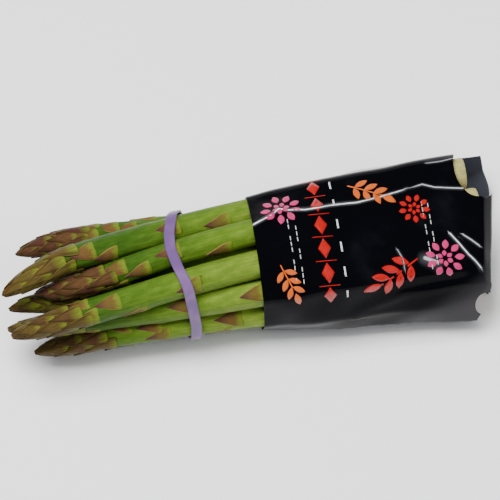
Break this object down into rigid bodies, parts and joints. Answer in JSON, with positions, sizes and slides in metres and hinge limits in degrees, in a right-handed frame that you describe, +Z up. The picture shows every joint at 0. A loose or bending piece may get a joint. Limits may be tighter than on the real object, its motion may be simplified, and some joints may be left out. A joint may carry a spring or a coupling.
{
  "type": "bundle of asparagus",
  "caption": "Bundle of green asparagus lying down, tied behind its scaled heads by a rubber band, with the cut ends in an open film sleeve.",
  "frame": {"origin": "under the middle of the bundle's box, on the surface that the bundle lies on", "axes": "+X along the bundle from the heads to the cut ends, +Y to the far side, +Z up"},
  "size_m": [0.2536, 0.0862, 0.0625],
  "materials": {
    "asparagus": "satin skin, yellow-green stems, brown-purple heads and bracts",
    "rubber": "satin, lilac",
    "film": null
  },
  "bodies": {
    "root": {"spear_01": "asparagus", "spear_02": "asparagus", "spear_03": "asparagus", "spear_04": "asparagus", "spear_05": "asparagus", "spear_06": "asparagus", "spear_07": "asparagus", "spear_08": "asparagus", "spear_09": "asparagus", "spear_10": "asparagus", "spear_11": "asparagus", "spear_12": "asparagus", "spear_13": "asparagus", "spear_14": "asparagus", "rubber_band": "rubber", "film_sleeve": "film"}
  },
  "joints": []
}
